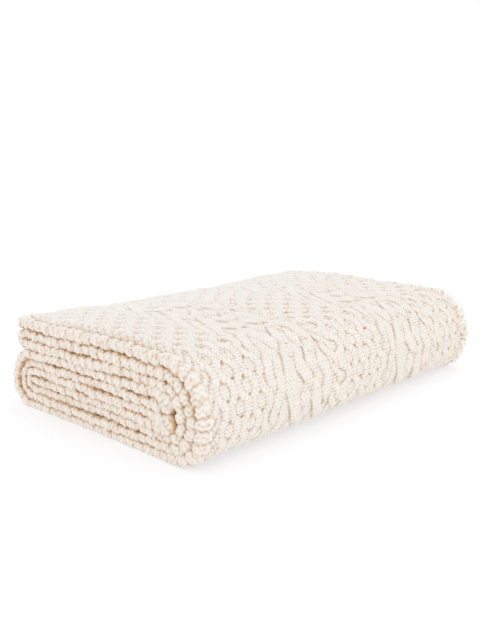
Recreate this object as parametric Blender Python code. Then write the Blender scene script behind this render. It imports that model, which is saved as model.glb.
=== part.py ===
"""Aran knit throw, folded flat into ten layers.

One knitted cloth runs back and forth through the whole stack. Its right side,
with the cables, faces out all round the stack, and its section is lofted along X
from the thick near end to the slightly smaller far end.
"""

import math
from collections import namedtuple

import bmesh
import bpy

# Driving sizes, in metres
LENGTH = 0.508
CLOTH = 0.0092
CABLE_HEIGHT = 0.0068
FAR_WIDTH = 0.971
FAR_HEIGHT = 0.944
FAR_SHIFT = 0.009

# Spacing of the points: fine where the cables show, coarse inside the stack
FINE_STEP = 0.0100
FINE_COLUMNS = 75
COARSE_COLUMNS = 4
RUN_PIECES = 5

# The free ends of the cloth: the top hem at the left and the one inside the stack
TOP_HEM_Y = 0.151
INNER_HEM_Y = 0.131
HEM_NOSE = 0.55

# Where the cables fade into plain pressed cloth: by height above the floor, by place
# across the stack in the notch, and by distance from the top hem
FLOOR_FADE = (0.002, 0.016)
NOTCH_FADE = (0.140, 0.153)
HEM_FADE = (0.0, 0.018)

# Middle of the cloth in each layer, counted from the top, at three places across
SPAN = 0.130
Layer = namedtuple("Layer", "left middle right")
LAYERS = {
    1: Layer(0.1060, 0.1056, 0.1052),
    2: Layer(0.0922, 0.0920, 0.0924),
    3: Layer(0.0788, 0.0794, 0.0800),
    4: Layer(0.0674, 0.0678, 0.0682),
    5: Layer(0.0566, 0.0564, 0.0568),
    6: Layer(0.0462, 0.0456, 0.0454),
    7: Layer(0.0356, 0.0350, 0.0346),
    8: Layer(0.0249, 0.0246, 0.0243),
    9: Layer(0.0147, 0.0146, 0.0144),
    10: Layer(0.0046, 0.0046, 0.0046),
}

# Each fold: its side, the layers it joins, where it starts, how far it reaches
# past that, the height of its fullest point, and the points along it
LEFT, RIGHT = 1, -1
Fold = namedtuple("Fold", "side upper lower start reach belly pieces")
FOLDS = {
    "outer right": Fold(RIGHT, 1, 10, 0.1069, 0.0554, 0.0515, 15),
    "middle right": Fold(RIGHT, 2, 9, 0.1069, 0.0400, 0.0510, 12),
    "inner right": Fold(RIGHT, 3, 8, 0.1040, 0.0270, 0.0505, 10),
    "upper tuck": Fold(RIGHT, 4, 5, 0.1040, 0.0120, 0.0622, 8),
    "lower tuck": Fold(RIGHT, 6, 7, 0.1040, 0.0125, 0.0400, 8),
    "top left": Fold(LEFT, 2, 3, 0.1390, 0.0145, 0.0835, 8),
    "outer left": Fold(LEFT, 4, 10, 0.1299, 0.0328, 0.0310, 9),
    "middle left": Fold(LEFT, 5, 9, 0.1299, 0.0218, 0.0330, 9),
    "inner left": Fold(LEFT, 6, 8, 0.1299, 0.0107, 0.0350, 7),
}
UPPER_SQUARENESS = 2.0
LOWER_SQUARENESS = 2.4

# The way through the stack from the top hem: a layer, then the fold after it
ROUTE = (
    (1, "outer right"),
    (10, "outer left"),
    (4, "upper tuck"),
    (5, "middle left"),
    (9, "middle right"),
    (2, "top left"),
    (3, "inner right"),
    (8, "inner left"),
    (6, "lower tuck"),
    (7, None),
)
EXPOSED = ("run 1", "outer right", "outer left")

# Cable bands across the cloth, from the near selvedge: the first strand, the number
# of strands, their spacing, how far they swing, and their repeat along the cloth
Band = namedtuple("Band", "kind first strands spacing swing repeat")
BANDS = (
    Band("rope", 0.0060, 2, 0.0085, 0.0030, 0.040),
    Band("honeycomb", 0.0275, 5, 0.0155, 0.0042, 0.047),
    Band("rope", 0.1030, 2, 0.0130, 0.0050, 0.047),
    Band("plait", 0.1370, 4, 0.0170, 0.0000, 0.068),
    Band("rope", 0.2020, 2, 0.0110, 0.0040, 0.047),
    Band("honeycomb", 0.2280, 5, 0.0168, 0.0045, 0.047),
    Band("rope", 0.3150, 2, 0.0130, 0.0050, 0.047),
    Band("plait", 0.3480, 4, 0.0175, 0.0000, 0.068),
    Band("rope", 0.4160, 2, 0.0110, 0.0040, 0.047),
    Band("honeycomb", 0.4400, 3, 0.0165, 0.0045, 0.047),
    Band("rope", 0.4920, 2, 0.0085, 0.0030, 0.040),
)
STRAND_HALF_WIDTH = 0.0090

CREAM = (0.86, 0.79, 0.69, 1.0)

Station = namedtuple("Station", "y z across up along place")


def smooth_step(value, low, high):
    """0 below low, 1 above high, and a smooth rise between them."""
    share = min(max((value - low) / (high - low), 0.0), 1.0)
    return share * share * (3.0 - 2.0 * share)


def layer_height(number, y):
    """Height of the middle of a layer's cloth at a place across the stack."""
    layer = LAYERS[number]
    t = y / SPAN
    bend = (layer.left + layer.right) / 2.0 - layer.middle
    slope = (layer.left - layer.right) / 2.0
    return layer.middle + slope * t + bend * t * t


def run_points(number, start, end, pieces):
    """Points along one flat layer, without its last point."""
    points = []
    for i in range(pieces):
        y = start + (end - start) * i / pieces
        points.append((y, layer_height(number, y)))
    return points


def fold_points(fold, downwards):
    """Points round one fold, from the upper layer to the lower one or back."""
    base = fold.side * fold.start
    top = layer_height(fold.upper, base)
    bottom = layer_height(fold.lower, base)
    points = []
    for i in range(fold.pieces):
        angle = math.pi * (0.5 - i / fold.pieces)
        if angle >= 0.0:
            height, power = top - fold.belly, 2.0 / UPPER_SQUARENESS
        else:
            height, power = fold.belly - bottom, 2.0 / LOWER_SQUARENESS
        out = fold.reach * abs(math.cos(angle)) ** power
        rise = height * abs(math.sin(angle)) ** power
        points.append((base + fold.side * out, fold.belly + math.copysign(rise, angle)))
    return points if downwards else [(base, bottom)] + points[:0:-1]


def centre_line():
    """The cloth's middle line through the stack, each point with its stretch's name."""
    line = []
    start = TOP_HEM_Y
    for number, fold_name in ROUTE:
        fold = FOLDS.get(fold_name)
        end = fold.side * fold.start if fold else INNER_HEM_Y
        exposed = f"run {number}" in EXPOSED
        pieces = round(abs(end - start) / FINE_STEP) if exposed else RUN_PIECES
        line += [(p, f"run {number}") for p in run_points(number, start, end, pieces)]
        if fold:
            downwards = fold.upper == number
            line += [(p, fold_name) for p in fold_points(fold, downwards)]
            start = end
    line.append(((INNER_HEM_Y, layer_height(7, INNER_HEM_Y)), "run 7"))
    return line


def stations():
    """Each point with the way its right side faces and its distance from the top hem."""
    line = centre_line()
    found = []
    along = 0.0
    for i, ((y, z), name) in enumerate(line):
        before = line[max(i - 1, 0)][0]
        after = line[min(i + 1, len(line) - 1)][0]
        step = math.hypot(after[0] - before[0], after[1] - before[1])
        across = (after[1] - before[1]) / step
        up = -(after[0] - before[0]) / step
        if name == "run 10":
            across, up = 0.0, -1.0
        if i:
            along += math.hypot(y - before[0], z - before[1])
        found.append(Station(y, z, across, up, along, name))
    return found


def strand_centres(band, along):
    """Places across the cloth of a band's strands at a distance along it."""
    turn = 2.0 * math.pi * along / band.repeat
    if band.kind == "plait":
        # A strand moves one place over at each crossing row and turns back at the edge,
        # with two crossing rows in each repeat
        middle = band.first + band.spacing * (band.strands - 1) / 2.0
        rows = 2.0 * along / band.repeat
        for k in range(band.strands):
            phase = (rows + 2.0 * k) % (2.0 * band.strands)
            zigzag = abs(phase - band.strands) - band.strands / 2.0
            yield middle + band.spacing * zigzag
    else:
        for k in range(band.strands):
            lean = band.swing * math.cos(turn) * (-1) ** k
            yield band.first + k * band.spacing + lean


def relief(x, along):
    """Height of the cables above the plain cloth, from 0 to 1."""
    nearest = min(abs(x - c) for band in BANDS for c in strand_centres(band, along))
    share = min(nearest / STRAND_HALF_WIDTH, 1.0)
    return 1.0 - share * share


def placed(x, y, z):
    """A point of the near section carried to its place along X."""
    share = x / LENGTH
    wide = 1.0 + (FAR_WIDTH - 1.0) * share
    high = 1.0 + (FAR_HEIGHT - 1.0) * share
    return (x - LENGTH / 2.0, y * wide + FAR_SHIFT * share, max(z * high, 0.0))


def show_of_cables(station, y, z):
    """How much of the cables' height shows at a place, from 0 to 1."""
    if station.place == "run 1":
        return smooth_step(station.along, *HEM_FADE)
    if station.place == "outer left":
        return smooth_step(y, *NOTCH_FADE) * smooth_step(z, *FLOOR_FADE)
    return smooth_step(z, *FLOOR_FADE)


def face_row(mesh, station, side):
    """One row of points along X on the right side (1) or the wrong side (-1)."""
    raised = station.place in EXPOSED and side == 1
    columns = FINE_COLUMNS if raised else COARSE_COLUMNS
    y = station.y + side * station.across * CLOTH / 2.0
    z = station.z + side * station.up * CLOTH / 2.0
    show = show_of_cables(station, y, z)
    row = []
    for i in range(columns + 1):
        x = LENGTH * i / columns
        lift = CABLE_HEIGHT * show * relief(x, station.along) if raised else 0.0
        at = placed(x, y + station.across * lift, z + station.up * lift)
        row.append(mesh.verts.new(at))
    return row


def nose_row(mesh, station, beyond):
    """One row of points that rounds a hem off, a little past the last station."""
    y = station.y + beyond * station.up * CLOTH * HEM_NOSE
    z = station.z - beyond * station.across * CLOTH * HEM_NOSE
    columns = COARSE_COLUMNS
    return [
        mesh.verts.new(placed(LENGTH * i / columns, y, z)) for i in range(columns + 1)
    ]


def join_rows(mesh, first, second):
    """Fills the strip between two rows, whatever the number of points in each."""
    i = j = 0
    while i < len(first) - 1 or j < len(second) - 1:
        if len(first) == len(second):
            mesh.faces.new((first[i], first[i + 1], second[j + 1], second[j]))
            i, j = i + 1, j + 1
        elif j == len(second) - 1 or (
            i < len(first) - 1 and first[i + 1].co.x <= second[j + 1].co.x
        ):
            mesh.faces.new((first[i], first[i + 1], second[j]))
            i += 1
        else:
            mesh.faces.new((first[i], second[j + 1], second[j]))
            j += 1


def folded_cloth():
    """The whole cloth as one closed mesh."""
    mesh = bmesh.new()
    path = stations()
    fronts = [face_row(mesh, station, 1) for station in path]
    backs = [face_row(mesh, station, -1) for station in path]
    noses = (nose_row(mesh, path[0], 1), nose_row(mesh, path[-1], -1))
    for i in range(len(path) - 1):
        join_rows(mesh, fronts[i], fronts[i + 1])
        join_rows(mesh, backs[i + 1], backs[i])
        for end in (0, -1):
            corners = (fronts[i][end], fronts[i + 1][end])
            corners += (backs[i + 1][end], backs[i][end])
            mesh.faces.new(corners if end else corners[::-1])
    for nose, front, back in zip(noses, (fronts[0], fronts[-1]), (backs[0], backs[-1])):
        join_rows(mesh, nose, front)
        join_rows(mesh, back, nose)
        mesh.faces.new((nose[0], front[0], back[0]))
        mesh.faces.new((nose[-1], back[-1], front[-1]))
    bmesh.ops.recalc_face_normals(mesh, faces=mesh.faces)
    centre_on_floor(mesh)
    return mesh


def centre_on_floor(mesh):
    """Moves the cloth so that its box stands centred on the origin."""
    across = [vertex.co.y for vertex in mesh.verts]
    middle = (min(across) + max(across)) / 2.0
    for vertex in mesh.verts:
        vertex.co.y -= middle


def cotton():
    """Matt cream cotton yarn."""
    material = bpy.data.materials.new("cream cotton")
    material.use_nodes = True
    shader = material.node_tree.nodes["Principled BSDF"]
    shader.inputs["Base Color"].default_value = CREAM
    shader.inputs["Roughness"].default_value = 0.9
    shader.inputs["Metallic"].default_value = 0.0
    return material


def build():
    """Clears the scene and adds the throw in a collection of its own."""
    for old in list(bpy.data.objects):
        bpy.data.objects.remove(old, do_unlink=True)
    collection = bpy.data.collections.new("aran knit throw")
    bpy.context.scene.collection.children.link(collection)
    data = bpy.data.meshes.new("throw")
    mesh = folded_cloth()
    mesh.to_mesh(data)
    mesh.free()
    data.shade_smooth()
    data.materials.append(cotton())
    collection.objects.link(bpy.data.objects.new("throw", data))


build()
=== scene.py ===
"""Look of the folded aran knit throw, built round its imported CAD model.

One cloth runs back and forth through the stack. Each piece here is a stretch of that
cloth: the section gives its path, the knit gives the height of its cables and stitches,
and a rope of knots runs along both of its edges.
"""

import logging
import math
from dataclasses import dataclass, field, replace
from enum import Enum, IntEnum
from typing import Callable, Dict, Iterator, List, Optional, Sequence, Tuple

import bpy
import numpy as np
from mathutils import Euler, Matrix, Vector


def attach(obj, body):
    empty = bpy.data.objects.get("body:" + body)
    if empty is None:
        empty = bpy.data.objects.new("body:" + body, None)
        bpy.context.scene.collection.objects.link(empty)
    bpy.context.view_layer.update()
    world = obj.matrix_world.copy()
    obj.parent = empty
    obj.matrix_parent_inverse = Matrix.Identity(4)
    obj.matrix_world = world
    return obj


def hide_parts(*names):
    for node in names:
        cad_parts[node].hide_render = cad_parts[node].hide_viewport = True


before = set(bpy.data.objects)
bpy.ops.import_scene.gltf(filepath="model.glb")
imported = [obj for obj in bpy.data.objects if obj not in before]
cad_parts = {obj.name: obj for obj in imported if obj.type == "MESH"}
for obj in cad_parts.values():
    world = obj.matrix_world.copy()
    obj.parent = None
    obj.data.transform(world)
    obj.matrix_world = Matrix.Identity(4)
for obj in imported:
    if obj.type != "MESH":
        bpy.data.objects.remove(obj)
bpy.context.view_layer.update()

log = logging.getLogger("throw")

# Sizes that the CAD source also has, in metres
LENGTH = 0.508
CLOTH = 0.0092
FAR_WIDTH = 0.971
FAR_HEIGHT = 0.944
FAR_SHIFT = 0.009
CENTRING = 0.00206384
SPAN = 0.130
TOP_HEM_Y = 0.151
INNER_HEM_Y = 0.131
UPPER_SQUARENESS = 2.0
LOWER_SQUARENESS = 2.4
LEFT = 1
RIGHT = -1

# Sizes of the knit
ROW = 0.0034
WALE = 0.0046
ROPE_AXIS = 0.0068
ROPE_HALF_WIDTH = 0.0072
KNOT = 0.0140
ROPE_ROW = 0.62
PATTERN_START_Y = 0.137
GROUND_LEVEL = -1.3
TOP_PATTERN_END = 0.26
NOISE_CELLS = 128
NOISE_START = 40.0
RUN_SAMPLES = 200
FOLD_SAMPLES = 400
NO_STEP = 1e-9
LOWEST = 0.0002

# Distances between the rows and between the columns of each kind of stretch
TOP = (0.00086, 0.00086)
SIDE = (0.00080, 0.00086)
BASE = (0.0020, 0.0020)
WRAP = (0.0012, 0.0012)
TURN = (0.0014, 0.0014)
INNER = (0.0015, 0.002)

# Angles of the rows that round off a hem, and of the points round a rope
HEM_ANGLES = np.radians([88.0, 76.0, 62.0, 46.0, 30.0, 14.0])
ROPE_ANGLES = np.radians(np.arange(75.0, -76.0, -15.0))[None, :]

Grid = np.ndarray
Place = Tuple[float, float, float]
Colour = Tuple[float, float, float, float]


class Seed(IntEnum):
    """Seeds of the noise fields and of the scatter of the holes."""

    HOLES = 7
    SKEW = 11
    ROWS = 12
    SWAY = 21
    WAVE = 22
    RIPPLE = 23
    BUMPS = 24
    WANDER = 31
    LUMPS = 32
    SLACK = 41
    DRIFT = 42


def linked(name: str, data: bpy.types.ID) -> bpy.types.Object:
    """Makes an object and puts it into the scene."""
    made = bpy.data.objects.new(name, data)
    bpy.context.scene.collection.objects.link(made)
    return made


def from_edge(x: Grid) -> Grid:
    """Distance from the nearer edge of the cloth."""
    return np.minimum(x, LENGTH - x)


def smooth_step(value: Grid, low: float, high: float) -> Grid:
    """Rises smoothly from 0 at low to 1 at high."""
    share = np.clip((value - low) / (high - low), 0.0, 1.0)
    return share * share * (3.0 - 2.0 * share)


def soft_noise(u: Grid, v: Grid, scale: float, seed: Seed) -> Grid:
    """Smooth seeded noise over a surface.

    Args:
        u: Places across, in metres.
        v: Places along, in metres.
        scale: Size of one lump, in metres.
        seed: Picks the field.

    Returns:
        Values from -1 to 1, in the shape that u and v broadcast to.
    """
    cells = NOISE_CELLS
    table = np.random.default_rng(seed).uniform(-1.0, 1.0, (cells, cells))
    a, b = np.broadcast_arrays(u / scale + NOISE_START, v / scale + NOISE_START)
    i = np.floor(a).astype(int)
    j = np.floor(b).astype(int)
    fa = smooth_step(a - i, 0.0, 1.0)
    fb = smooth_step(b - j, 0.0, 1.0)
    i0, i1 = i % cells, (i + 1) % cells
    j0, j1 = j % cells, (j + 1) % cells
    low = table[i0, j0] * (1.0 - fa) + table[i1, j0] * fa
    high = table[i0, j1] * (1.0 - fa) + table[i1, j1] * fa
    return low * (1.0 - fb) + high * fb


def blurred(height: Grid, cells: float) -> Grid:
    """The height field softened by a bell of so many cells."""
    reach = int(math.ceil(cells * 2.5))
    bell = np.exp(-0.5 * (np.arange(-reach, reach + 1) / cells) ** 2)
    bell /= bell.sum()
    out = height
    for axis in (0, 1):
        pad = [(0, 0), (0, 0)]
        pad[axis] = (reach, reach)
        wide = np.pad(out, pad, mode="edge")
        size = out.shape[axis]
        parts = [
            share * wide.take(range(i, i + size), axis=axis)
            for i, share in enumerate(bell)
        ]
        out = sum(parts)
    return out


@dataclass(frozen=True)
class Layer:
    """Height of one layer's middle at three places across the stack."""

    left: float
    middle: float
    right: float

    def height(self, y: Grid) -> Grid:
        """Height of the layer's middle at a place across."""
        t = y / SPAN
        bend = (self.left + self.right) / 2.0 - self.middle
        slope = (self.left - self.right) / 2.0
        return self.middle + slope * t + bend * t * t


@dataclass(frozen=True)
class Fold:
    """A fold that joins two layers at one side of the stack."""

    side: int
    upper: int
    lower: int
    start: float
    reach: float
    belly: float

    def curve(self, downwards: bool) -> Tuple[Grid, Grid]:
        """Points round the fold.

        Args:
            downwards: Whether the cloth comes from the upper layer.

        Returns:
            Places across and heights.
        """
        base = self.side * self.start
        top = LAYERS[self.upper].height(base)
        bottom = LAYERS[self.lower].height(base)
        angle = np.pi * (0.5 - np.linspace(0.0, 1.0, FOLD_SAMPLES))
        above = angle >= 0.0
        rise = np.where(above, top - self.belly, self.belly - bottom)
        power = np.where(above, 2.0 / UPPER_SQUARENESS, 2.0 / LOWER_SQUARENESS)
        out = self.reach * np.abs(np.cos(angle)) ** power
        up = rise * np.abs(np.sin(angle)) ** power
        y = base + self.side * out
        z = self.belly + np.where(above, up, -up)
        return (y, z) if downwards else (y[::-1], z[::-1])


LAYERS: Dict[int, Layer] = {
    1: Layer(0.1060, 0.1056, 0.1052),
    2: Layer(0.0922, 0.0920, 0.0924),
    3: Layer(0.0788, 0.0794, 0.0800),
    4: Layer(0.0674, 0.0678, 0.0682),
    5: Layer(0.0566, 0.0564, 0.0568),
    6: Layer(0.0462, 0.0456, 0.0454),
    7: Layer(0.0356, 0.0350, 0.0346),
    8: Layer(0.0249, 0.0246, 0.0243),
    9: Layer(0.0147, 0.0146, 0.0144),
    10: Layer(0.0046, 0.0046, 0.0046),
}

FOLDS: Dict[str, Fold] = {
    "outer right": Fold(RIGHT, 1, 10, 0.1069, 0.0554, 0.0515),
    "middle right": Fold(RIGHT, 2, 9, 0.1069, 0.0400, 0.0510),
    "inner right": Fold(RIGHT, 3, 8, 0.1040, 0.0270, 0.0505),
    "upper tuck": Fold(RIGHT, 4, 5, 0.1040, 0.0132, 0.0602),
    "lower tuck": Fold(RIGHT, 6, 7, 0.1040, 0.0137, 0.0422),
    "top left": Fold(LEFT, 2, 3, 0.1390, 0.0145, 0.0835),
    "outer left": Fold(LEFT, 4, 10, 0.1299, 0.0328, 0.0310),
    "middle left": Fold(LEFT, 5, 9, 0.1299, 0.0218, 0.0330),
    "inner left": Fold(LEFT, 6, 8, 0.1299, 0.0107, 0.0350),
}

# Half height of the edge rope
EDGES: Dict[str, float] = {
    "run 1": 0.0070,
    "outer right": 0.0086,
    "run 10": 0.0056,
    "outer left": 0.0066,
    "run 4": 0.0065,
    "upper tuck": 0.0088,
    "run 5": 0.0064,
    "middle left": 0.0062,
    "run 9": 0.0059,
    "middle right": 0.0084,
    "run 2": 0.0075,
    "top left": 0.0062,
    "run 3": 0.0070,
    "inner right": 0.0080,
    "run 8": 0.0060,
    "inner left": 0.0060,
    "run 6": 0.0062,
    "lower tuck": 0.0092,
    "run 7": 0.0061,
}

# How far the near rope hangs below its layer
HANGS = {"run 1": 0.0024, "run 2": 0.0012, "run 3": 0.0005}

ROUTE: Tuple[Tuple[int, Optional[str]], ...] = (
    (1, "outer right"),
    (10, "outer left"),
    (4, "upper tuck"),
    (5, "middle left"),
    (9, "middle right"),
    (2, "top left"),
    (3, "inner right"),
    (8, "inner left"),
    (6, "lower tuck"),
    (7, None),
)


@dataclass
class Section:
    """The cloth's path through the stack, sampled finely.

    Attributes:
        spans: Where each named stretch starts and ends along the path.
        along: Distance along the path at each sample.
        y: Place across at each sample.
        z: Height at each sample.
        slope_y: How fast the place across changes along the path.
        slope_z: How fast the height changes along the path.
        pattern: Distance along the knit at each sample, which the cloth's inner face
            keeps where it goes round the outer fold.
        edge_size: Half height of the edge rope at each sample.
        edge_drop: How far the near rope hangs at each sample.
    """

    step: float = 0.0005
    spans: Dict[str, Tuple[float, float]] = field(default_factory=dict)

    def __post_init__(self) -> None:
        """Samples the path, the knit's distances and the ropes' sizes."""
        along, y, z = self._walk()
        self.along = np.arange(0.0, along[-1], self.step)
        self.y = self._eased(np.interp(self.along, along, y))
        self.z = self._eased(np.interp(self.along, along, z))
        self.slope_y = np.gradient(self.y, self.step)
        self.slope_z = np.gradient(self.z, self.step)
        length = np.hypot(self.slope_y, self.slope_z)
        self.slope_y = self.slope_y / length
        self.slope_z = self.slope_z / length
        self.pattern = self._unrolled()
        self.edge_size, self.edge_drop = self._edges()

    def _walk(self) -> Tuple[Grid, Grid, Grid]:
        """Follows the route and notes where each run and fold starts and ends.

        Returns:
            Distances along the path, places across and heights.
        """
        parts: Dict[str, Tuple[Grid, Grid]] = {}
        start = TOP_HEM_Y
        for number, fold_name in ROUTE:
            fold = FOLDS.get(fold_name) if fold_name else None
            end = fold.side * fold.start if fold else INNER_HEM_Y
            run = np.linspace(start, end, RUN_SAMPLES)
            parts[f"run {number}"] = (run, LAYERS[number].height(run))
            if fold:
                parts[fold_name] = fold.curve(fold.upper == number)
                start = end
        y = np.concatenate([part[0] for part in parts.values()])
        z = np.concatenate([part[1] for part in parts.values()])
        steps = np.hypot(np.diff(y), np.diff(z))
        along = np.concatenate([[0.0], np.cumsum(steps)])
        begin = 0.0
        count = 0
        for name, part in parts.items():
            count += len(part[0])
            self.spans[name] = (begin, float(along[count - 1]))
            begin = self.spans[name][1]
        keep = np.concatenate([[True], steps > NO_STEP])
        return along[keep], y[keep], z[keep]

    def _unrolled(self) -> Grid:
        """Distance along the knit at each sample."""
        inner_y = self.y - self.slope_z * CLOTH / 2.0
        inner_z = self.z + self.slope_y * CLOTH / 2.0
        inner = np.hypot(np.gradient(inner_y), np.gradient(inner_z))
        on_fold = self.along < self.spans["outer right"][1]
        pace = np.where(on_fold, inner, self.step)
        return np.cumsum(pace) - (TOP_HEM_Y - PATTERN_START_Y)

    def _edges(self) -> Tuple[Grid, Grid]:
        """Half height of the edge rope and how far it hangs, at each sample."""
        places: List[float] = []
        sizes: List[float] = []
        drops: List[float] = []
        for name, (first, last) in self.spans.items():
            inset = min(0.030, 0.3 * (last - first))
            places += [first + inset, last - inset]
            sizes += 2 * [EDGES[name]]
            drops += 2 * [HANGS.get(name, 0.0)]
        size = np.interp(self.along, places, sizes) * self._lifted()
        return size, np.interp(self.along, places, drops)

    def _lifted(self) -> Grid:
        """Share of their size that the ropes keep where the top layer's hem lifts."""
        upper = self.along < self.spans["run 1"][1]
        first, last = self.spans["run 2"]
        second = (self.along > first) & (self.along < last)
        hem = smooth_step(self.y, 0.085, 0.130)
        return 1.0 - 0.04 * hem * (upper | second)

    @staticmethod
    def _eased(values: Grid) -> Grid:
        """The values with their kinks smoothed out."""
        reach = 8
        bell = np.exp(-0.5 * (np.arange(-reach, reach + 1) / 3.0) ** 2)
        padded = np.concatenate(
            [
                2.0 * values[0] - values[reach:0:-1],
                values,
                2.0 * values[-1] - values[-2 : -reach - 2 : -1],
            ]
        )
        return np.convolve(padded, bell / bell.sum(), mode="valid")

    def at(self, values: Grid, along: Grid) -> Grid:
        """One of the section's values at places along the path."""
        return np.interp(along, self.along, values)


def placed(x: Grid, y: Grid, z: Grid) -> Grid:
    """Carries points of the near section to their places along X, as the CAD does.

    Args:
        x: Distance from the near edge.
        y: Place across in the near section.
        z: Height in the near section.

    Returns:
        Points in the row frame, with a last axis of three.
    """
    share = x / LENGTH
    wide = 1.0 + (FAR_WIDTH - 1.0) * share
    high = 1.0 + (FAR_HEIGHT - 1.0) * share
    across = y * wide + FAR_SHIFT * share - CENTRING
    sag = np.sin(np.pi * np.clip(share, 0.0, 1.0)) ** 0.8
    sag = 1.0 - (0.020 + 0.052 * sag) * smooth_step(y, 0.0, 0.135)
    return np.stack([x - LENGTH / 2.0, across, z * high * sag], axis=-1)


@dataclass(frozen=True)
class Strand:
    """One strand of a cable at every row of a panel.

    Attributes:
        centre: Place of its middle across the cloth.
        level: 1 where it passes over another strand and -1 where it passes under.
        half: Half of its width.
        stitches: Number of stitches across it.
    """

    centre: Grid
    level: Grid
    half: Grid
    stitches: float

    @staticmethod
    def over(
        pattern: Grid, centre: Grid, level: Grid, half: Grid, stitches: float
    ) -> "Strand":
        """A strand on every row, from arrays or single numbers."""
        rows = np.broadcast_arrays(pattern, centre, level, half)[1:]
        return Strand(*rows, stitches)


def repeats(low: float, high: float, start: float, every: float) -> range:
    """Numbers of the repeats that lie between two distances along the knit."""
    return range(math.floor((low - start) / every), math.ceil((high - start) / every) + 1)


@dataclass(frozen=True)
class Spot:
    """A small deep hole where strands pull apart."""

    x: float
    pattern: float
    depth: float


@dataclass(frozen=True)
class Honeycomb:
    """Strands that meet and part again round staggered oval cells."""

    first: float
    spacing: float
    count: int
    repeat: float
    widest: float
    swing: float = 0.0050
    half: float = 0.0060

    def strands(self, pattern: Grid) -> Iterator[Strand]:
        """The strands at distances along the knit, with a soft filling in each cell."""
        turn = 2.0 * np.pi * (pattern - self.widest) / self.repeat
        wave = np.cos(turn) - 0.10 * np.cos(3.0 * turn)
        for k in range(self.count - 1):
            middle = self.first + (k + 0.5) * self.spacing
            apart = self.spacing + 2.0 * self.swing * wave * (-1) ** k
            half = np.maximum(0.5 * apart - 0.86 * self.half, 0.0004)
            yield Strand.over(pattern, middle, -1.05, half, 3.0)
        for k in range(self.count):
            lean = -self.swing * wave * (-1) ** k
            level = 0.25 * np.sin(turn) * (-1) ** k
            centre = self.first + k * self.spacing + lean
            yield Strand.over(pattern, centre, level, self.half, 2.6)

    def spots(self, low: float, high: float) -> Iterator[Spot]:
        """The holes between two distances along the knit."""
        for k in range(self.count - 1):
            x = self.first + (k + 0.5) * self.spacing
            start = self.widest + 0.5 * self.repeat * (k % 2)
            for n in repeats(low, high, start, self.repeat):
                place = start + n * self.repeat
                side = float(smooth_step(np.array(place), 0.262, 0.286))
                yield Spot(x, place - 0.0025, 1.0 - 0.85 * side)
                yield Spot(x, place - 0.0078, 0.75 * side)
                yield Spot(x + 0.0010, place + 0.0078, 0.85 * side)


@dataclass(frozen=True)
class Twist:
    """Two strands that twist round each other."""

    middle: float
    sway: float
    half: float
    stitches: float
    pitch: float
    crossing: float
    hand: int = 1

    def strands(self, pattern: Grid) -> Iterator[Strand]:
        """The strands at distances along the knit."""
        turn = np.pi * ((pattern - self.crossing) / self.pitch + 0.5)
        for sign in (1, -1):
            centre = self.middle + sign * self.hand * self.sway * np.cos(turn)
            level = sign * np.sin(turn)
            yield Strand.over(pattern, centre, level, self.half, self.stitches)

    def spots(self, low: float, high: float) -> Iterator[Spot]:
        """The holes between two distances along the knit."""
        for n in repeats(low, high, self.crossing, self.pitch):
            place = self.crossing + (n + 0.5) * self.pitch
            yield Spot(self.middle, place, 0.45)


@dataclass(frozen=True)
class Plait:
    """Four strands that weave over and under each other."""

    middle: float
    spacing: float
    half: float
    row: float
    crossing: float

    def strands(self, pattern: Grid) -> Iterator[Strand]:
        """The strands at distances along the knit."""
        rows = (pattern - self.crossing) / self.row + 1.0
        near = np.round(rows)
        over = np.where(np.mod(near, 4.0) < 1.5, -1.0, 1.0)
        for k in range(4):
            phase = np.mod(rows + 2.0 * k, 8.0)
            zigzag = np.abs(phase - 4.0) - 2.0
            rounded = 2.0 * np.sin(np.clip(zigzag, -2.0, 2.0) * np.pi / 4.0) * 0.35
            place = 0.65 * zigzag + rounded
            heading = np.where(phase < 4.0, -1.0, 1.0)
            level = heading * over * np.cos(np.pi * (rows - near))
            level = np.where(np.abs(zigzag) > 1.5, 0.0, level)
            centre = self.middle + self.spacing * place
            yield Strand.over(pattern, centre, level, self.half, 4.0)

    def spots(self, low: float, high: float) -> Iterator[Spot]:
        """The holes between two distances along the knit."""
        for n in repeats(low, high, self.crossing, self.row):
            place = self.crossing + n * self.row
            if n % 2:
                yield Spot(self.middle + 0.0040, place - 0.0045, 0.9)
                yield Spot(self.middle, place + 0.0050, 0.7)
                continue
            for side in (-1.0, 1.0):
                x = self.middle + side * self.spacing
                yield Spot(x + 0.0045, place - 0.0070, 1.0)
                yield Spot(x - 0.0045, place + 0.0070, 0.6)


@dataclass(frozen=True)
class Border:
    """A low band of knit stitches beside an edge."""

    middle: float
    half: float

    def strands(self, pattern: Grid) -> Iterator[Strand]:
        """The band at distances along the knit."""
        yield Strand.over(pattern, self.middle, -0.9, self.half, 2.0)

    def spots(self, low: float, high: float) -> Iterator[Spot]:
        """No holes."""
        return iter(())


CABLES = (
    Twist(0.0160, 0.0022, 0.0042, 2.0, 0.0125, 0.0),
    Border(LENGTH - 0.0170, 0.0052),
    Honeycomb(0.0268, 0.0161, 5, 0.0335, 0.3004),
    Twist(0.1098, 0.0062, 0.0072, 3.0, 0.0346, 0.2838),
    Plait(0.1625, 0.0165, 0.0094, 0.0318, 0.2815),
    Twist(0.2068, 0.0042, 0.0054, 2.0, 0.0160, 0.3120, hand=-1),
    Honeycomb(0.2280, 0.0183, 5, 0.0315, 0.3040, swing=0.0057, half=0.0066),
    Border(0.3122, 0.0046),
    Twist(0.3225, 0.0062, 0.0072, 3.0, 0.0346, 0.2838),
    Plait(0.3760, 0.0165, 0.0094, 0.0325, 0.2860),
    Twist(0.4190, 0.0042, 0.0054, 2.0, 0.0160, 0.3120, hand=-1),
    Honeycomb(0.4362, 0.0175, 4, 0.0325, 0.1800, swing=0.0054, half=0.0064),
)


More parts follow.
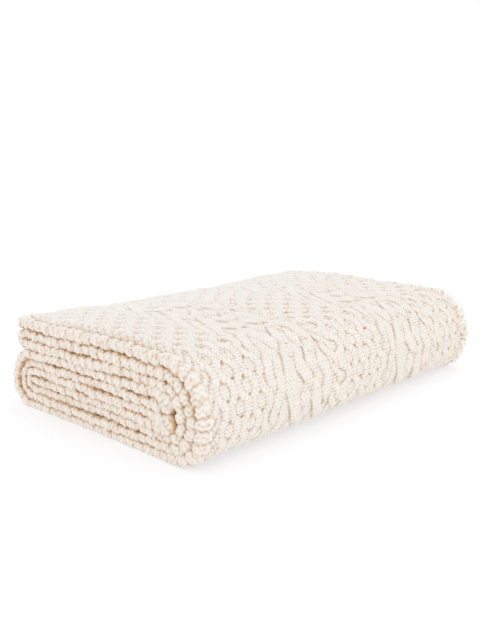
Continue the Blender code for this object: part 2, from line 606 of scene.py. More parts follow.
@dataclass
class Relief:
    """Heights of the right side over the plain cloth, and the painted shade and stitches that colour it.

    The fields are those of a surface, with the share of the holes' full depth.
    """

    height: Grid
    painted_shade: Grid
    wale: Grid
    holes: Grid


@dataclass(frozen=True)
class Knit:
    """Heights of the cables, stitches and purl ground on the cloth's right side."""

    # The sizes are metres, and below is the height that stands for no strand
    dome: float = 0.0027
    base: float = 0.0008
    lift: float = 0.0011
    stitch: float = 0.0010
    groove: float = 0.0003
    hole: float = 0.0030
    seam: float = 0.0012
    skew: float = 0.0009
    scatter: float = 0.0009
    below: float = -0.01

    @staticmethod
    def loops(wale: Grid, row: Grid) -> Grid:
        """Height from 0 to 1 of knit stitches, each a pair of slanting legs."""
        slant = np.abs(2.0 * (wale - np.floor(wale)) - 1.0)
        return 0.5 + 0.5 * np.cos(2.0 * np.pi * (row - 0.45 * slant))

    def rows(self, x: Grid, pattern: Grid) -> Grid:
        """Place along in rows of stitches, not quite even."""
        return (pattern + 0.0007 * soft_noise(x, pattern, 0.012, Seed.ROWS)) / ROW

    def relief(self, x: Grid, pattern: Grid) -> Relief:
        """The right side of the knit.

        Args:
            x: Distances from the near edge, one for each column.
            pattern: Distances along the knit, one for each row.

        Returns:
            The relief at every row and column.
        """
        across = x[None, :]
        u = across + self.skew * soft_noise(across, pattern[:, None], 0.021, Seed.SKEW)
        row = self.rows(across, pattern[:, None])
        wale = u / WALE + 0.5 * np.floor(row)
        top = 0.0006 * np.sin(np.pi * row) ** 2 * self.loops(wale, row)
        second = np.full_like(top, -0.003)
        level = np.full_like(top, GROUND_LEVEL)
        under = np.full_like(top, GROUND_LEVEL)
        for cable in CABLES:
            for strand in cable.strands(pattern):
                reach = float(strand.half.max()) + 0.003
                low = np.searchsorted(x, strand.centre.min() - reach)
                high = np.searchsorted(x, strand.centre.max() + reach)
                part = (slice(None), slice(int(low), int(high)))
                height, place = self._strand(strand, u[part], row[part], pattern)
                own = strand.level[:, None] + 0.0 * height
                old = top[part]
                above = height > old
                runner = np.minimum(height, old)
                closer = runner > second[part]
                second[part] = np.where(closer, runner, second[part])
                behind = np.where(above, level[part], own)
                under[part] = np.where(closer, behind, under[part])
                level[part] = np.where(above, own, level[part])
                top[part] = np.maximum(height, old)
                wale[part] = np.where(above, place, wale[part])
        margin = (top - second) / self.seam
        crease = np.exp(-margin * margin)
        drop = smooth_step(np.abs(level - under), 0.3, 1.5)
        # Painted shade along the creases between strands, darker where a strand dips under another.
        painted_shade = (0.46 + 0.48 * drop) * crease
        return Relief(top - self.groove * crease, painted_shade, wale, self._holes(u, pattern))

    def _holes(self, u: Grid, pattern: Grid) -> Grid:
        """Share of the full depth of the small holes where strands pull apart."""
        holes = np.zeros_like(u)
        chance = np.random.default_rng(Seed.HOLES)
        for cable in CABLES:
            for spot in cable.spots(-0.1, 1.0):
                shift_x, shift_p, share = chance.uniform(-1.0, 1.0, 3)
                place = spot.pattern + self.scatter * shift_p
                low = np.searchsorted(pattern, place - 0.008)
                high = np.searchsorted(pattern, place + 0.008)
                if high <= low or spot.depth < 0.02:
                    continue
                on_top = place < TOP_PATTERN_END
                wide = 0.0020 + 0.0012 * on_top
                long = 0.0021 + 0.0009 * on_top
                dx = (u[low:high] - spot.x - 0.0008 * shift_x) / wide
                dp = (pattern[low:high, None] - place) / long
                bell = spot.depth * (0.85 + 0.2 * share) * np.exp(-dx * dx - dp * dp)
                holes[low:high] = np.maximum(holes[low:high], bell)
        return holes

    def _strand(
        self, strand: Strand, u: Grid, row: Grid, pattern: Grid
    ) -> Tuple[Grid, Grid]:
        """Height of one strand.

        Args:
            strand: The strand.
            u: Places across.
            row: Places along in rows of stitches.
            pattern: Distances along the knit, one for each row.

        Returns:
            Its height, far below where it isn't, and the place across it in stitches.
        """
        pace = np.maximum(np.gradient(pattern), 1e-5)
        lean = (np.gradient(strand.centre) / pace)[:, None]
        upright = 1.0 / np.sqrt(1.0 + lean * lean)
        t = (u - strand.centre[:, None]) * upright / strand.half[:, None]
        inside = np.clip(1.0 - np.abs(t) ** 2.4, 0.0, 1.0)
        wide = np.minimum(strand.half[:, None] / 0.0050, 1.0)
        dome = inside**0.6 * wide
        place = (t + 1.0) * 0.5 * strand.stitches
        stitch = self.stitch * self.loops(place, row) * np.sqrt(dome)
        level = strand.level[:, None]
        height = self.base + self.lift * level + self.dome * dome + stitch
        return np.where(inside > 0.0, height, self.below), place


class Face(Enum):
    """What a stretch shows on one of its faces."""

    CABLES = "cables"
    PURL = "purl"
    PLAIN = "plain"


@dataclass(frozen=True)
class Surface:
    """Points on a part of the cloth's outside, and what colours them, with its painted shade.

    Attributes:
        x: Distance from the near edge.
        h: Distance from the cloth's middle.
        painted_shade: How much painted shade each point gets, in creases, pits, holes, grooves and other
            places where shade falls.
        wale: Place across in stitches.
        row: Place along in stitches.
    """

    x: Grid
    h: Grid
    painted_shade: Grid
    wale: Grid
    row: Grid

    def values(self) -> Tuple[Grid, ...]:
        """Its five fields, all in one shape."""
        return np.broadcast_arrays(self.x, self.h, self.painted_shade, self.wale, self.row)

    def turned(self) -> "Surface":
        """The same points with their columns in the opposite order."""
        return Surface(*(values[:, ::-1] for values in self.values()))

    @staticmethod
    def joined(parts: Sequence["Surface"]) -> "Surface":
        """The parts side by side, in order round the cloth."""
        columns = zip(*(part.values() for part in parts))
        return Surface(*(np.concatenate(values, axis=1) for values in columns))


@dataclass(frozen=True)
class Rope:
    """The rope of knots along both edges of the cloth."""

    wander: float = 0.0034
    lead: float = 0.0030
    loop: float = 0.09
    plump: float = 0.09
    lump: float = 0.10
    stitches: float = 2.6

    def strays(self, along: Grid) -> Grid:
        """How far the knots lie from their even places."""
        return self.wander * soft_noise(0.0 * along, along, 0.030, Seed.WANDER)

    def shape(self, knit: Knit, along: Grid, row: Grid, turn: Grid) -> Tuple[Grid, Grid, Grid]:
        """Shape of the rope.

        Args:
            knit: Gives the stitches on the knots.
            along: Distances along the path, one for each row.
            row: Distances along in rows of stitches.
            turn: Angles round the rope, a quarter turn being straight up.

        Returns:
            The rope's radius as a share of its full size, its painted shade between knots
            and the place round it in stitches.
        """
        phase = (along + self.lead * np.sin(turn) + self.strays(along)) / KNOT
        number = np.floor(phase)
        t = 2.0 * (phase - number) - 1.0
        arch = np.sqrt(np.clip(1.0 - np.abs(t) ** 2.1, 0.0, 1.0)) ** 0.9
        outward = np.sin(turn) ** 2
        calm = smooth_step(along, 0.004, 0.018)
        pinch = (0.27 + 0.17 * outward) * calm
        wale = turn * self.stitches / np.pi + 0.55 * phase
        plump = 1.0 + self.plump * np.sin(number * 2.4 + np.sin(number * 1.7))
        lumps = self.lump * soft_noise(turn * 0.0085, along, 0.0052, Seed.LUMPS)
        size = plump * (1.0 - pinch * (1.0 - arch)) + lumps
        size = size + self.loop * (knit.loops(wale, ROPE_ROW * row) - 0.5)
        # Painted shade in the pinches between knots and in the dents between lumps.
        crease = smooth_step(np.abs(t), 0.40, 1.0) * (0.26 + 0.14 * outward) * calm
        crease = crease + smooth_step(-lumps, 0.015, 0.07) * 0.28
        return size, np.clip(crease, 0.0, 1.0), wale


@dataclass(frozen=True)
class Rows:
    """The rows of a stretch.

    Attributes:
        knit: Gives the cables and stitches.
        along: Distance of each row along the path.
        pattern: Distance of each row along the knit.
    """

    knit: Knit
    along: Grid
    pattern: Grid


@dataclass(frozen=True)
class Shading:
    """How strongly painted shade darkens each form of the knit."""

    crease: float = 0.68
    pit: float = 0.72
    wall: float = 0.38
    knot: float = 0.8
    gutter: float = 0.9
    hole: float = 1.1
    top_hole: float = 0.25
    top_loss: float = 0.60


@dataclass
class Stretch:
    """A stretch of the folded cloth, made as one closed mesh.

    Attributes:
        name: Name of the piece.
        section: The path that it follows.
        start: Where it starts along the path.
        end: Where it ends along the path.
        step: Distance between its rows.
        column: Distance between its columns where a face shows.
        front: What its right side shows.
        back: What its wrong side shows.
        hem_first: Whether it starts with a rounded hem.
        hem_last: Whether it ends with one.
        rests_on: Names of what it lies on.
        rope: Shape of the rope along its edges.
        shading: Strengths of its painted shade.
    """

    name: str
    section: Section
    start: float
    end: float
    step: float
    column: float
    front: Face = Face.PLAIN
    back: Face = Face.PLAIN
    hem_first: bool = False
    hem_last: bool = False
    rests_on: Sequence[str] = ()
    rope: Rope = Rope()
    shading: Shading = Shading()

    def build(self, knit: Knit) -> bpy.types.Object:
        """Makes the mesh and returns its object.

        Args:
            knit: Gives the height of the cables.

        Returns:
            The new object, linked to the scene.
        """
        count = max(2, int(round((self.end - self.start) / self.step)) + 1)
        along = np.linspace(self.start, self.end, count)
        along, shrink, beyond = self._with_hems(along)
        pattern = self.section.at(self.section.pattern, along)
        skin = self._loop(Rows(knit, along, pattern))
        points = self._points(along, skin.x, skin.h * shrink[:, None], beyond)
        # fine sets how strongly the gaps between stitches get their bump and painted shade, half as much on
        # the ropes.
        fine = 0.50 + 0.50 * smooth_step(from_edge(skin.x), 0.009, 0.013)
        tones = {"painted_shade": skin.painted_shade, "wale": skin.wale, "row": skin.row, "fine": fine}
        return self._mesh(points, tones)

    def _points(self, along: Grid, x: Grid, h: Grid, beyond: Grid) -> Grid:
        """Lays the skin along the path.

        Args:
            along: Distances along the path, one for each row.
            x: Distances from the near edge.
            h: Distances from the cloth's middle.
            beyond: How far past the end of the cloth each row lies.

        Returns:
            The points in the row frame.
        """
        path = self.section
        rows = along[:, None]
        tangent_y = path.at(path.slope_y, rows)
        tangent_z = path.at(path.slope_z, rows)
        scallop = 1.0 + 0.28 * np.sin(2.0 * np.pi * x / (2.0 * WALE)) * (h > 0.0)
        shift = beyond[:, None] * scallop + self._tilt(along)[:, None] * h
        y = path.at(path.y, rows) + tangent_y * shift
        z = path.at(path.z, rows) + tangent_z * shift
        sway = 0.0016 * soft_noise(x, rows, 0.070, Seed.SWAY)
        calm = smooth_step(z, 0.004, 0.030)
        h = h + sway * calm * np.where(self.front is Face.CABLES, 1.0, 0.3)
        edge = 1.0 - smooth_step(from_edge(x), 0.006, 0.045)
        wave = 0.0011 * soft_noise(0.0 * x, rows, 0.033, Seed.WAVE)
        wave += 0.0006 * soft_noise(0.0 * x, rows, 0.014, Seed.RIPPLE)
        h = h + wave * edge * calm
        if self.hem_first:
            droop = np.exp(-((along / 0.024) ** 2))[:, None]
            inner = smooth_step(from_edge(x), 0.008, 0.050)
            bumps = 0.0013 * soft_noise(x, 0.0 * rows, 0.013, Seed.BUMPS)
            h = h + droop * np.where(h > 0.0, bumps, -0.0026 * inner)
        points = placed(x, y + tangent_z * h, z - tangent_y * h)
        points[..., 2] = np.maximum(points[..., 2], LOWEST)
        return points

    def _tilt(self, along: Grid) -> Grid:
        """How far the first hem's upper face lies back from its lower face."""
        share = np.exp(-((along / 0.014) ** 2))
        return 0.45 * share if self.hem_first else 0.0 * share

    def _with_hems(self, along: Grid) -> Tuple[Grid, Grid, Grid]:
        """Adds the rows that round off a hem.

        Args:
            along: Distances along the path, one for each row.

        Returns:
            Places along, each row's share of the thickness, and how far past the
            end of the cloth each row lies.
        """
        shrink = np.ones_like(along)
        beyond = np.zeros_like(along)
        extra = len(HEM_ANGLES)
        if self.hem_first:
            rim = (along - along[0] - 0.004) / 0.008
            shrink = shrink + 0.36 * np.exp(-rim * rim)
            along = np.concatenate([np.full(extra, along[0]), along])
            shrink = np.concatenate([1.28 * np.cos(HEM_ANGLES) ** 0.7, shrink])
            beyond = np.concatenate([-0.0070 * np.sin(HEM_ANGLES), beyond])
        if self.hem_last:
            along = np.concatenate([along, np.full(extra, along[-1])])
            shrink = np.concatenate([shrink, np.cos(HEM_ANGLES[::-1])])
            beyond = np.concatenate([beyond, 0.0050 * np.sin(HEM_ANGLES[::-1])])
        return along, shrink, beyond

    def _columns(self, face: Face) -> Grid:
        """Places across of the points on one face."""
        low = ROPE_AXIS
        high = LENGTH - ROPE_AXIS
        if face is Face.PLAIN:
            edge = np.array([0.0, 0.004, 0.008, 0.013])
            inner = np.linspace(low + 0.030, high - 0.030, 4)
            return np.concatenate([low + edge, inner, high - edge[::-1]])
        count = int(round((high - low) / self.column))
        return np.linspace(low, high, count + 1)

    def _loop(self, rows: Rows) -> Surface:
        """The cloth's whole outside, all round at every row."""
        path = self.section
        knit, along = rows.knit, rows.along
        front = self._face(rows, self._columns(self.front), True)
        back = self._face(rows, self._columns(self.back)[::-1], False)
        turn = ROPE_ANGLES
        row = knit.rows(0.0 * turn, rows.pattern[:, None])
        size, crease, wale = self.rope.shape(knit, along[:, None], row, turn)
        size = size * path.at(path.edge_size, along)[:, None]
        lean = np.sin(turn)
        # Painted shade on the ropes: a little all over, more in the pinches between knots, and most where a
        # rope faces down at the next layer, and up as well on faces without cables.
        facing = smooth_step(-lean, 0.40, 0.95)
        if self.front is not Face.CABLES:
            facing = facing + smooth_step(lean, 0.40, 0.95)
        shade = np.clip(0.12 + crease + 0.66 * facing, 0.0, 1.0)
        swell = self._far_swell(along)
        up = np.sign(lean) * np.abs(lean) ** 0.72
        out = size * np.cos(turn) ** 0.72
        far_x = LENGTH - ROPE_AXIS + out * swell
        far = Surface(far_x, size * swell * up, shade, wale, ROPE_ROW * row)
        near_h = size * up + self._hang(along)
        near = Surface(ROPE_AXIS - out, near_h, shade, wale, ROPE_ROW * row).turned()
        return self._slackened(Surface.joined([front, far, back, near]), along)

    @staticmethod
    def _slackened(skin: Surface, along: Grid) -> Surface:
        """The skin with its edges wandering in and out and its far corner rounded."""
        x = skin.x
        slack = 0.0026 * soft_noise(0.0 * along, along, 0.060, Seed.SLACK)
        slack += 0.0016 * soft_noise(0.0 * along, along, 0.25, Seed.DRIFT)
        near = 1.0 - smooth_step(x, 0.0, 0.060)
        far = smooth_step(x, LENGTH - 0.060, LENGTH)
        corner = (1.0 - smooth_step(along, -0.008, 0.034))[:, None] * far**2
        moved = x + slack[:, None] * (near - far) - 0.016 * corner
        return replace(skin, x=moved, h=skin.h - 0.0035 * corner)

    def _far_swell(self, along: Grid) -> Grid:
        """How much fuller the far edge's rope is than the near one's."""
        last = self.section.spans["outer right"][1]
        share = smooth_step(along, 0.0, 0.05) * (1.0 - smooth_step(along, last - 0.03, last))
        return (1.0 + 0.32 * share)[:, None]

    def _face(self, rows: Rows, x: Grid, is_front: bool) -> Surface:
        """One face of the cloth with the inner halves of its ropes.

        Args:
            rows: The rows that it has.
            x: Distances from the near edge, one for each column.
            is_front: Whether it is the right side.

        Returns:
            The face.
        """
        knit, along = rows.knit, rows.along
        face = self.front if is_front else self.back
        row = knit.rows(x[None, :], rows.pattern[:, None])
        inward = from_edge(x)[None, :]
        is_far = (x > LENGTH / 2.0)[None, :]
        body = CLOTH / 2.0 * smooth_step(inward, ROPE_AXIS - 0.003, 0.0125)
        sign = 1.0 if is_front else -1.0
        reach = np.clip((inward - ROPE_AXIS) / ROPE_HALF_WIDTH, 0.0, 1.0)
        turn = sign * (np.pi / 2.0 + np.arcsin(reach))
        size, crease, wale = self.rope.shape(knit, along[:, None], row, turn)
        # The painted shade between the knots fades towards the cloth's middle.
        crease = crease * (1.0 - 0.6 * reach)
        size = size * self.section.at(self.section.edge_size, along)[:, None]
        size = size * np.where(is_far, self._far_swell(along), 1.0)
        hang = np.where(is_far, 0.0, self._hang(along))
        rope = (size + sign * hang) * np.sqrt(1.0 - reach * reach)
        if face is Face.CABLES:
            knots = Surface(x, rope, crease, wale, row)
            return self._cabled(rows, body, knots)
        height = np.maximum(body, rope)
        wale = x[None, :] / WALE + 0.5 * np.floor(row)
        if face is Face.PURL:
            ridge = np.sin(np.pi * row) ** 2 * knit.loops(wale, row)
            height = height + 0.0018 * ridge
            # Painted shade between the purl ridges.
            return Surface(x, sign * height, 0.05 + 0.25 * (1.0 - ridge) ** 6, wale, row)
        # Painted shade on plain faces, which show only in the gaps between layers; none near the top hem.
        shade = 0.75 * smooth_step(along, 0.016, 0.034)[:, None]
        return Surface(x, sign * height, shade, wale, row)

    def _cabled(self, rows: Rows, body: Grid, knots: Surface) -> Surface:
        """The right side, with its cables running into the ropes.

        Args:
            rows: The rows that it has.
            body: Half thickness of the plain cloth.
            knots: The ropes alone.

        Returns:
            The face.
        """
        relief = rows.knit.relief(knots.x, rows.pattern)
        shading = self.shading
        inward = from_edge(knots.x)[None, :]
        show = self._show(rows.along)[:, None] * smooth_step(inward, 0.0070, 0.0130)
        plain = body + relief.height * show
        overlap = np.maximum(0.0030 - np.abs(plain - knots.h), 0.0)
        height = np.maximum(plain, knots.h) + overlap**2 / 0.0120
        soft = blurred(height, 0.0024 / self.column)
        pit = smooth_step(soft - height, 0.0004, 0.0020)
        height = np.maximum(height, soft - 0.0008)
        height = height - rows.knit.hole * relief.holes * show
        slope = np.hypot(*np.gradient(height)) / self.column
        # Painted shade on steep walls, along creases, in pits and in holes; the top face gets less crease
        # shade and more hole shade.
        wall = shading.wall * smooth_step(slope, 0.7, 1.6)
        top = 1.0 - smooth_step(rows.pattern, 0.20, 0.27)[:, None]
        painted_shade = shading.crease * relief.painted_shade * show + shading.pit * pit + wall
        painted_shade = painted_shade * (1.0 - shading.top_loss * top)
        painted_shade = painted_shade + (shading.hole + shading.top_hole * top) * relief.holes * show
        # The groove behind the near rope is cut in and also painted with shade.
        gutter = self._gutter(rows.along, inward) * (knots.x <= LENGTH / 2.0)
        height = height - 0.0015 * gutter
        on_rope = knots.h >= plain
        # Where the ropes stand above the cables they keep their own painted shade.
        painted_shade = np.maximum(painted_shade, knots.painted_shade * shading.knot * on_rope)
        painted_shade = np.clip(painted_shade + shading.gutter * gutter, 0.0, 1.0)
        wale = np.where(on_rope, knots.wale, relief.wale)
        row = np.where(on_rope, ROPE_ROW * knots.row, knots.row)
        return Surface(knots.x, height, painted_shade, wale, row)

    def _gutter(self, along: Grid, inward: Grid) -> Grid:
        """Share of the scalloped groove between the near rope and the cables."""
        last = self.section.spans["outer right"][0]
        share = 1.0 - 0.75 * smooth_step(along, last - 0.030, last + 0.020)
        phase = (along + self.rope.lead + self.rope.strays(along)) / KNOT
        t = 2.0 * np.mod(phase, 1.0) - 1.0
        middle = 0.0086 + 0.0014 * np.sqrt(1.0 - t * t)
        off = (inward - middle[:, None]) / 0.0014
        return share[:, None] * (0.40 + 0.60 * t * t)[:, None] * np.exp(-off * off)

    def _hang(self, along: Grid) -> Grid:
        """How far the edge rope lies from the cloth's middle, towards the right side."""
        path = self.section
        up = -path.at(path.slope_y, along)
        return (-path.at(path.edge_drop, along) * up)[:, None]

    def _show(self, along: Grid) -> Grid:
        """How much of the cables' height shows at each row."""
        path = self.section
        y = path.at(path.y, along)
        z = path.at(path.z, along)
        show = smooth_step(z, 0.004, 0.018)
        show = np.maximum(show, 0.12)
        show = show * (0.55 + 0.45 * smooth_step(along, 0.040, 0.110))
        show = show * smooth_step(along, 0.002, 0.020)
        show = show * (1.0 - 0.15 * smooth_step(y, -0.100, -0.135))
        left = along > path.spans["outer left"][0]
        notch = smooth_step(y, 0.140, 0.153)
        return np.where(left, show * notch, show)

    def _mesh(self, points: Grid, tones: Dict[str, Grid]) -> bpy.types.Object:
        """Turns the rows of loops into a closed mesh object.

        Args:
            points: Points round the cloth at every row.
            tones: Values for the material at every point, by name.

        Returns:
            The new object, linked to the scene.
        """
        index = np.arange(points[..., 0].size).reshape(points.shape[:2])
        here = index[:-1]
        there = index[1:]
        across = [here, there, np.roll(there, -1, axis=1), np.roll(here, -1, axis=1)]
        quads = np.stack(across, axis=-1).reshape(-1, 4)
        caps = [index[0].tolist(), index[-1, ::-1].tolist()]
        mesh = bpy.data.meshes.new(self.name)
        mesh.from_pydata(points.reshape(-1, 3).tolist(), [], quads.tolist() + caps)
        mesh.shade_smooth()
        for cap in (-1, -2):
            mesh.polygons[cap].use_smooth = False
        mesh.validate()
        for name, values in tones.items():
            tone = mesh.attributes.new(name, "FLOAT", "POINT")
            full = np.broadcast_to(values, index.shape)
            tone.data.foreach_set("value", full.astype(np.float32).ravel())
        return linked(self.name, mesh)

    def dress(self, made: bpy.types.Object, finish: bpy.types.Material) -> None:
        """Gives the piece its cotton and says what it is.

        Args:
            made: The piece.
            finish: The cotton.
        """
        made.data.materials.append(finish)
        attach(made, "root")
        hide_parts("throw")
        size = (LENGTH, self.end - self.start)
        list(self.rests_on)
        faces = len(made.data.polygons)
        log.info("%s: %d faces, %.0f mm of cloth", self.name, faces, size[1] * 1000)


def _operator(kind: str, reflected: bool = False) -> Callable[..., "Signal"]:
    """A method of a signal that makes one Math node out of it and another value.

    Args:
        kind: What the node does.
        reflected: Whether the other value comes first.

    Returns:
        The method.
    """

    def apply(signal: "Signal", other: object) -> "Signal":
        """Makes the node."""
        pair = (other, signal) if reflected else (signal, other)
        return signal.graph.math(kind, *pair)

    return apply


@dataclass(frozen=True)
class Signal:
    """A shader socket that takes part in ordinary arithmetic."""

    graph: "Graph"
    socket: bpy.types.NodeSocket

    def math(self, operation: str) -> "Signal":
        """One Math node on this signal alone."""
        return self.graph.math(operation, self)

    __add__ = _operator("ADD")
    __radd__ = _operator("ADD", reflected=True)
    __sub__ = _operator("SUBTRACT")
    __rsub__ = _operator("SUBTRACT", reflected=True)
    __mul__ = _operator("MULTIPLY")
    __rmul__ = _operator("MULTIPLY", reflected=True)


class Graph:
    """The node tree of one material."""

    def __init__(self, name: str) -> None:
        """Starts a material with its shader."""
        self.material = bpy.data.materials.new(name)
        self.material.use_nodes = True
        self.tree = self.material.node_tree
        self.shader = self.tree.nodes["Principled BSDF"]

    def node(
        self,
        kind: str,
        settings: Dict[str, object],
        values: Dict[object, object],
        out: object = 0,
    ) -> Signal:
        """Adds a node.

        Args:
            kind: Its type.
            settings: Its properties.
            values: What goes into its sockets, by name or number.
            out: Which of its outputs to use.

        Returns:
            That output.
        """
        made = self.tree.nodes.new(kind)
        for key, value in settings.items():
            setattr(made, key, value)
        for key, value in values.items():
            self.feed(made.inputs[key], value)
        return Signal(self, made.outputs[out])

    def feed(self, socket: bpy.types.NodeSocket, value: object) -> None:
        """Puts a signal or a constant into a socket."""
        if isinstance(value, Signal):
            self.tree.links.new(value.socket, socket)
        else:
            socket.default_value = value

    def math(self, kind: str, a: object, b: object = 0.0) -> Signal:
        """One Math node."""
        return self.node("ShaderNodeMath", {"operation": kind}, {0: a, 1: b})

    def noise(self, place: Signal, scale: float, detail: float) -> Signal:
        """Noise over the object, from 0 to 1."""
        values = {"Vector": place, "Scale": scale, "Detail": detail}
        return self.node("ShaderNodeTexNoise", {}, values)

    def attribute(self, name: str) -> Signal:
        """A value that the mesh carries."""
        return self.node("ShaderNodeAttribute", {"attribute_name": name}, {}, "Fac")

    def blend(self, share: object, low: object, high: object) -> Signal:
        """Mixes two colours."""
        values = {0: share, 6: low, 7: high}
        return self.node("ShaderNodeMix", {"data_type": "RGBA"}, values, 2)

    def finish(self, inputs: Dict[str, object]) -> bpy.types.Material:
        """Feeds the shader's sockets by name and returns the material."""
        for name, value in inputs.items():
            self.feed(self.shader.inputs[name], value)
        return self.material


@dataclass(frozen=True)
class CreamCotton:
    """Matt cream cotton yarn, with painted warm shade and glow in its creases and a painted sky tint on
    level faces.
    """

    lit: Colour = (0.925, 0.884, 0.822, 1.0)
    grey: Colour = (0.908, 0.856, 0.788, 1.0)
    # Painted cool sky tint for level faces.
    painted_sky_tint: Colour = (0.912, 0.884, 0.842, 1.0)
    # Colour of the painted shade in creases, holes and gaps between stitches.
    deep: Colour = (0.60, 0.385, 0.205, 1.0)
    # Painted glow: a weak warm emission in the painted shade, standing in for warm light bounced and passed
    # through the yarn into its creases.
    painted_warm_glow: Colour = (0.040, 0.021, 0.009, 1.0)
    roughness: float = 0.92

    def make(self) -> bpy.types.Material:
        """Builds the material."""
        graph = Graph("cream cotton yarn")
        place = graph.node("ShaderNodeTexCoord", {}, {}, "Object")
        cloud = graph.noise(place, 14.0, 2.0)
        fuzz = graph.noise(place, 900.0, 3.0)
        patchy = graph.noise(place, 210.0, 2.0)
        painted_shade = graph.attribute("painted_shade")
        loop, gap = self._stitches(graph)
        normal = graph.node("ShaderNodeNewGeometry", {}, {}, "True Normal")
        upward = graph.node("ShaderNodeSeparateXYZ", {}, {0: normal}, "Z")
        yarn = graph.blend(cloud, self.lit, self.grey)
        # Painted skylight: level faces, facing up or down alike, take a cooler colour by the square of the
        # true normal's height.
        yarn = graph.blend(upward * upward, yarn, self.painted_sky_tint)
        # Painted shade: the creases get the shade colour in stitch-sized dots, solid where deepest, and the
        # gaps between stitches add patchy dots of it.
        dotted = (0.35 + 1.0 * loop * loop) * (0.4 + 1.2 * patchy)
        full = painted_shade * painted_shade
        share = painted_shade * (dotted * (1.0 - full) + full) + gap * (3.4 * patchy - 1.1)
        colour = graph.blend(share, yarn, self.deep)
        rise = 0.20 * fuzz - 0.7 * gap - 0.30 * loop
        values = {"Strength": 0.55, "Distance": 0.0010, "Height": rise}
        # Painted glow in the painted shade, standing in for warm bounced light.
        glow = graph.blend(share, (0.0, 0.0, 0.0, 1.0), self.painted_warm_glow)
        return graph.finish(
            {
                "Base Color": colour,
                "Normal": graph.node("ShaderNodeBump", {}, values),
                "Emission Color": glow,
                "Emission Strength": 1.0,
                "Roughness": self.roughness,
                "Sheen Weight": 0.15,
                "Sheen Roughness": 0.5,
                "Specular IOR Level": 0.2,
            }
        )

    @staticmethod
    def _stitches(graph: Graph) -> Tuple[Signal, Signal]:
        """Fine stitches from the places across and along that the mesh carries.

        Args:
            graph: The material's nodes.

        Returns:
            How low each point of a stitch lies, and the gaps between stitches, which get a bump and painted
            shade.
        """
        across = graph.attribute("wale").math("FRACT")
        slant = (2.0 * across - 1.0).math("ABSOLUTE")
        turn = 2.0 * math.pi * (graph.attribute("row") - 0.45 * slant)
        loop = 0.5 - 0.5 * turn.math("COSINE")
        leg = (2.0 * math.pi * across).math("SINE").math("ABSOLUTE")
        return loop, graph.attribute("fine") * loop * loop * (1.0 - leg)


@dataclass(frozen=True)
class WhitePaper:
    """The seamless white floor that the throw lies on."""

    white: Colour = (0.64, 0.65, 0.67, 1.0)
    shaded: Colour = (0.62, 0.63, 0.65, 1.0)
    glow: float = 0.37

    def make(self) -> bpy.types.Material:
        """Builds the material."""
        graph = Graph("white paper")
        place = graph.node("ShaderNodeTexCoord", {}, {}, "Object")
        cloud = graph.noise(place, 3.0, 1.0)
        return graph.finish(
            {
                "Base Color": graph.blend(0.1 * cloud, self.white, self.shaded),
                "Roughness": 1.0,
                "Specular IOR Level": 0.0,
                "Emission Color": (1.0, 1.0, 1.0, 1.0),
                "Emission Strength": self.glow,
            }
        )


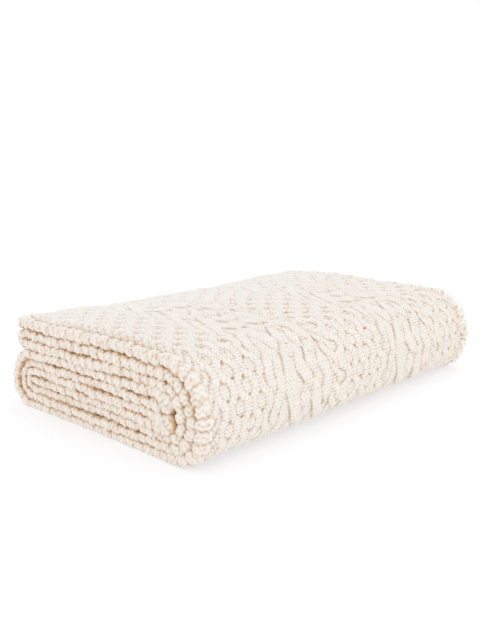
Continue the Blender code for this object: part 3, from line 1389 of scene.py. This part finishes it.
@dataclass(frozen=True)
class Studio:
    """Camera, floor and light round the throw."""

    camera_at: Place = (-0.7769, -0.7204 - CENTRING, 0.3343)
    yaw: float = -45.94
    pitch: float = 12.86
    film: float = 36.0
    lens: float = 850.0 * 36.0 / 631.0
    floor_reach: float = 12.0
    lamp_size: float = 1.6
    aim: Place = (0.0, 0.0, 0.06)

    def build(self) -> None:
        """Makes the whole studio."""
        self._camera()
        self._floor()
        self._sky()
        self._lamp("key", (-0.2, -1.7, 1.9), 3.8, (1.0, 0.985, 0.96))
        self._lamp("overhead", (0.0, 0.1, 2.5), 2.2, (0.50, 0.76, 1.0))
        scene = bpy.context.scene
        scene.view_settings.view_transform = "Standard"
        scene.view_settings.look = "None"
        scene.view_settings.exposure = 0.0

    def _camera(self) -> None:
        """Camera at the place that fits the photograph's outline."""
        data = bpy.data.cameras.new("camera")
        data.lens = self.lens
        data.sensor_width = self.film
        data.clip_start = 0.02
        camera = linked("camera", data)
        camera.location = self.camera_at
        turn = (math.radians(90.0 - self.pitch), 0.0, math.radians(self.yaw))
        camera.rotation_euler = Euler(turn)
        bpy.context.scene.camera = camera

    def _floor(self) -> None:
        """A large white floor."""
        mesh = bpy.data.meshes.new("floor")
        reach = self.floor_reach
        signs = ((-1, -1), (1, -1), (1, 1), (-1, 1))
        corners = [(reach * a, reach * b, 0.0) for a, b in signs]
        mesh.from_pydata(corners, [], [(0, 1, 2, 3)])
        mesh.materials.append(WhitePaper().make())
        floor = linked("floor", mesh)

    def _sky(self) -> None:
        """Even white light from all round."""
        world = bpy.data.worlds.new("studio")
        world.use_nodes = True
        sky = world.node_tree.nodes["Background"]
        sky.inputs["Color"].default_value = (1.0, 1.0, 1.0, 1.0)
        sky.inputs["Strength"].default_value = 1.0
        bpy.context.scene.world = world

    def _lamp(self, name: str, place: Place, power: float, colour: Place) -> None:
        """A soft square lamp that points at the throw.

        Args:
            name: Its name.
            place: Where it stands.
            power: Its power in watts.
            colour: Red, green and blue of its light.
        """
        data = bpy.data.lights.new(name, "AREA")
        data.shape = "SQUARE"
        data.size = self.lamp_size
        data.energy = power
        data.color = colour
        lamp = linked(name, data)
        lamp.location = place
        aim = Vector(self.aim) - Vector(place)
        lamp.rotation_euler = aim.to_track_quat("-Z", "Y").to_euler()


@dataclass
class Throw:
    """The whole folded throw."""

    section: Section = field(default_factory=Section)
    knit: Knit = field(default_factory=Knit)

    def stretches(self) -> List[Stretch]:
        """The cloth's stretches in order from the top hem."""
        spans = self.section.spans
        top_end = spans["run 1"][1]
        side_end = spans["outer right"][1]
        base_end = spans["run 10"][1]
        left_end = spans["outer left"][1]
        turn_start = spans["top left"][0] - 0.020
        turn_end = spans["top left"][1] + 0.020
        last = spans["run 7"][1] - 0.001
        half = 0.5 * top_end
        side_half = 0.5 * (top_end + side_end)
        path = self.section
        cables = Face.CABLES
        over = ["inner_layers_upper"]
        ground = ["floor"]
        return [
            Stretch("top_left_half", path, 0.0, half, *TOP, cables, hem_first=True, rests_on=["upper_turn"]),
            Stretch("top_right_half", path, half, top_end, *TOP, cables, rests_on=over),
            Stretch("side_upper", path, top_end, side_half, *SIDE, cables, rests_on=over),
            Stretch("side_lower", path, side_half, side_end, *SIDE, cables, rests_on=ground),
            Stretch("base", path, side_end, base_end, *BASE, cables, rests_on=ground),
            Stretch("left_wrap", path, base_end, left_end, *WRAP, cables, rests_on=ground),
            Stretch("inner_layers_upper", path, left_end, turn_start, *INNER, rests_on=["base"]),
            Stretch("upper_turn", path, turn_start, turn_end, *TURN, back=Face.PURL, rests_on=over),
            Stretch("inner_layers_lower", path, turn_end, last, *INNER, hem_last=True, rests_on=["base"]),
        ]

    def build(self) -> None:
        """Makes and dresses every stretch."""
        cotton = CreamCotton().make()
        for stretch in self.stretches():
            stretch.dress(stretch.build(self.knit), cotton)


def main() -> None:
    """Builds the studio and the throw."""
    logging.basicConfig(level=logging.INFO, format="%(message)s")
    Studio().build()
    Throw().build()
    bpy.context.view_layer.update()


if __name__ == "__main__":
    main()
